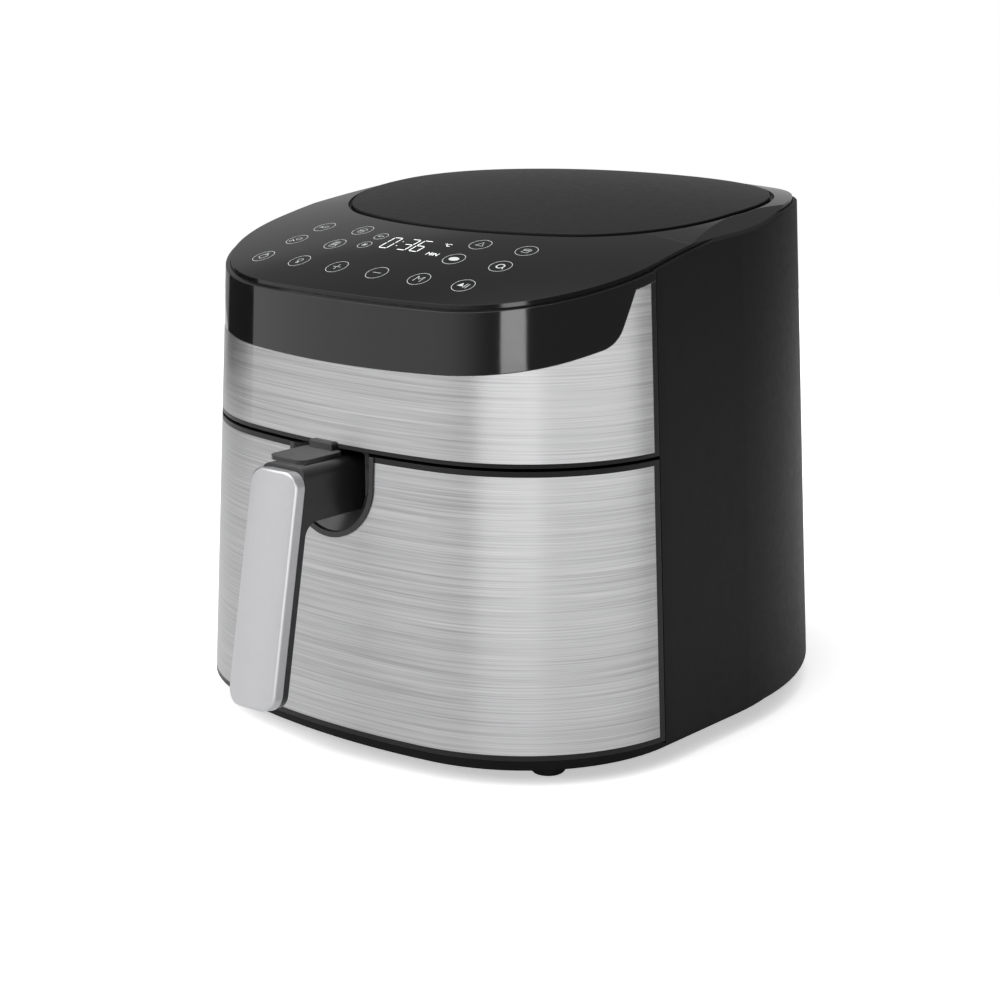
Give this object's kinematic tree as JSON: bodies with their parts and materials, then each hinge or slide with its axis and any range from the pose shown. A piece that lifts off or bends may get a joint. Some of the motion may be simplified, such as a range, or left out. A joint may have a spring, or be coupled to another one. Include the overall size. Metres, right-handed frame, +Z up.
{
  "type": "air fryer",
  "caption": "Basket air fryer: oval body with brushed steel front, gloss black crown with touch panel and lid, front drawer with frying basket and upright silver grip.",
  "frame": {"origin": "on the table, under the middle of the footprint between the face of the grip and the back of the housing", "axes": "+Z up, +X to the right as seen by the cook, +Y from the front to the back"},
  "size_m": [0.3032, 0.4196, 0.2871],
  "materials": {
    "housing_black": "satin moulded, fine grain",
    "gloss_black": "polished",
    "touch_glass": "polished, printed from behind",
    "lid_black": "matte, fine grain",
    "trim_black": "satin",
    "bezel_black": "semi-gloss",
    "handle_black": "satin",
    "inner_plastic": "moulded",
    "brushed_steel": "brushed, lines along the front",
    "grip_silver": "satin",
    "rubber_black": "matte",
    "coated_steel": "non-stick coating, satin",
    "sheet_metal": "zinc coated",
    "screw_steel": "zinc plated",
    "heater_steel": "heat-darkened",
    "ceramic_white": "unglazed",
    "motor_steel": "plain",
    "fan_aluminium": "pressed",
    "circuit_board": "solder mask"
  },
  "bodies": {
    "housing": {"rear_housing": "housing_black", "base_tray": "housing_black", "rubber_feet": "rubber_black", "vent_grille": "housing_black", "cord_inlet": "rubber_black", "bay_frame": "inner_plastic", "cavity_liner": "sheet_metal", "pan_runners": "sheet_metal", "chassis_plate": "sheet_metal", "chassis_screws": "screw_steel", "upper_steel": "brushed_steel", "gloss_band": "gloss_black", "upper_frame": "trim_black", "top_cover": "gloss_black", "touch_panel": "touch_glass", "lens_lid": "lid_black", "control_board": "circuit_board", "board_posts": "inner_plastic", "display_module": "inner_plastic", "power_board": "circuit_board", "power_components": "inner_plastic", "heater_dish": "sheet_metal", "fan_guard": "sheet_metal", "heating_coil": "heater_steel", "coil_insulators": "ceramic_white", "coil_clips": "sheet_metal", "thermal_cutout": "inner_plastic", "temperature_probe": "heater_steel", "exhaust_duct": "sheet_metal", "motor_bracket": "sheet_metal", "motor_can": "motor_steel", "motor_cap": "motor_steel", "motor_bearings": "screw_steel", "motor_stator": "motor_steel", "interlock_switch": "inner_plastic"},
    "rotor": {"fan_shaft": "screw_steel", "convection_fan": "fan_aluminium", "fan_nut": "screw_steel", "motor_rotor": "motor_steel", "cooling_fan": "inner_plastic"},
    "plunger": {"switch_plunger": "inner_plastic"},
    "drawer": {"drawer_steel": "brushed_steel", "drawer_frame": "trim_black", "notch_bezel": "bezel_black", "latch_keeper": "screw_steel", "pan": "coated_steel", "pan_screws": "screw_steel", "basket": "coated_steel", "crisper_tray": "coated_steel", "basket_feet": "rubber_black", "handle_bracket": "handle_black", "handle_arm": "handle_black", "grip_cover": "grip_silver", "handle_screws": "screw_steel", "latch_pin": "screw_steel", "release_spring": "screw_steel"},
    "cover": {"button_cover": "handle_black"},
    "button": {"release_button": "handle_black"},
    "latch": {"latch_lever": "screw_steel"}
  },
  "joints": [
    {"name": "drawer_slide", "type": "slide", "parent": "housing", "child": "drawer", "axis": [0, -1, 0], "range_m": [0, 0.23]},
    {"name": "switch_plunger", "type": "slide", "parent": "housing", "child": "plunger", "axis": [0, -1, 0], "range_m": [0, 0.0015]},
    {"name": "cover_slide", "type": "slide", "parent": "drawer", "child": "cover", "axis": [0, -1, 0], "range_m": [0, 0.018]},
    {"name": "release_button", "type": "slide", "parent": "drawer", "child": "button", "axis": [0, 0, -1], "range_m": [0, 0.0035], "deforming": ["release_spring"]},
    {"name": "latch_pivot", "type": "hinge", "parent": "drawer", "child": "latch", "pos_m": [0, -0.127, 0.142], "axis": [1, 0, 0], "range_deg": [0, 6.09], "stiffness_Nm_per_rad": 0.4, "springref_deg": -2.86},
    {"name": "fan_spin", "type": "hinge", "parent": "housing", "child": "rotor", "pos_m": [0, 0.005, 0.2], "axis": [0, 0, 1], "continuous": true}
  ],
  "couplings": [
    {"joint": "switch_plunger", "follows": "drawer_slide", "ratio": 0.0065217},
    {"joint": "release_button", "follows": "latch_pivot", "m_per_rad": 0.032938}
  ]
}
